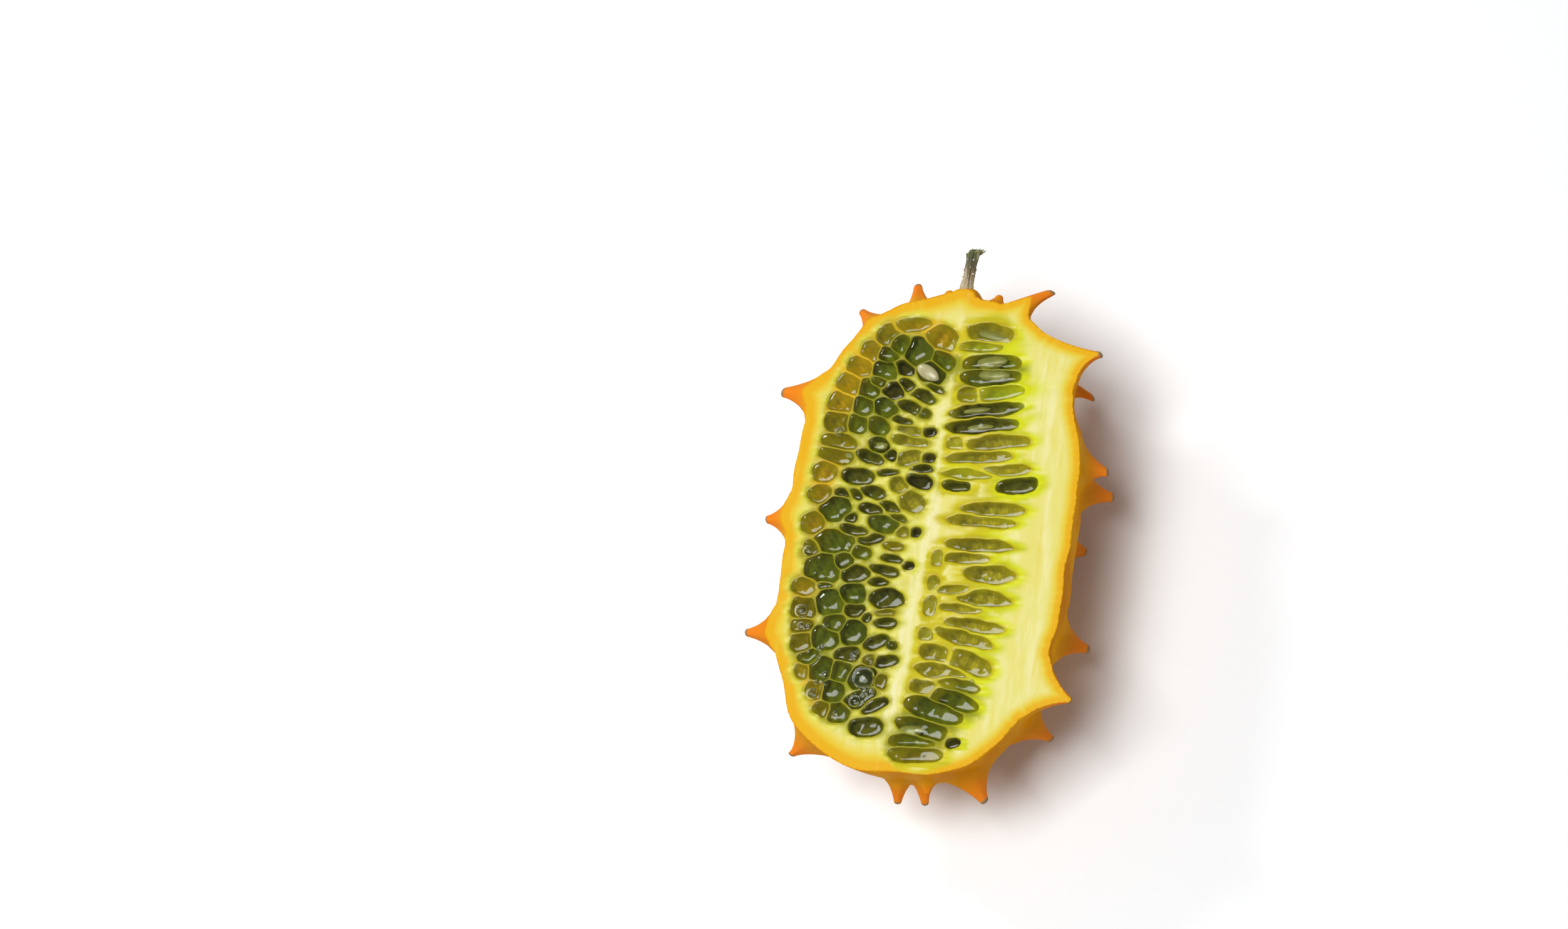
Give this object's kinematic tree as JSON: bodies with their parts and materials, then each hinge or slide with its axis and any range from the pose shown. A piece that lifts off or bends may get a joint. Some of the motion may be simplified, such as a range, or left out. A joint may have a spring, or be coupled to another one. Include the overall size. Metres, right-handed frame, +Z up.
{
  "type": "horned melon half",
  "caption": "Half of a horned melon cut lengthwise, lying on its horns: spiky orange rind, golden flesh, green jelly seed sacs in two chambers, dry stem at one end.",
  "frame": {"origin": "on the surface the half lies on, under the centre of its bounding box", "axes": "+X across the fruit, +Y along the fruit to the stem end, +Z up, out of the cut face"},
  "size_m": [0.086, 0.137, 0.0427],
  "materials": {
    "rind": "waxy orange rind outside, moist golden flesh on the cut face",
    "sac": "wet translucent olive-green jelly",
    "seed": "pale cream, moist",
    "stem": "dry, fibrous"
  },
  "bodies": {
    "root": {"rind_and_flesh": "rind", "stem": "stem", "bare_seed": "seed", "right_sac_01": "sac", "right_sac_02": "sac", "right_sac_03": "sac", "right_sac_04": "sac", "right_sac_05": "sac", "right_sac_06": "sac", "right_sac_07": "sac", "right_sac_08": "sac", "right_sac_09": "sac", "right_sac_10": "sac", "right_sac_11": "sac", "right_sac_12": "sac", "right_sac_13": "sac", "right_sac_14": "sac", "right_sac_15": "sac", "right_sac_16": "sac", "right_sac_17": "sac", "right_sac_18": "sac", "right_sac_19": "sac", "right_sac_20": "sac", "right_sac_21": "sac", "right_sac_22": "sac", "right_sac_23": "sac", "right_sac_24": "sac", "right_sac_25": "sac", "right_sac_26": "sac", "right_sac_27": "sac", "left_sac_row_01": "sac", "left_sac_row_02": "sac", "left_sac_row_03": "sac", "left_sac_row_04": "sac", "left_sac_row_05": "sac", "left_sac_row_06": "sac", "left_sac_row_07": "sac", "left_sac_row_08": "sac", "left_sac_row_09": "sac", "left_sac_row_10": "sac", "left_sac_row_11": "sac", "left_sac_row_12": "sac", "left_sac_row_13": "sac", "left_sac_row_14": "sac", "left_sac_row_15": "sac", "left_sac_row_16": "sac", "left_sac_row_17": "sac", "left_sac_row_18": "sac"}
  },
  "joints": []
}
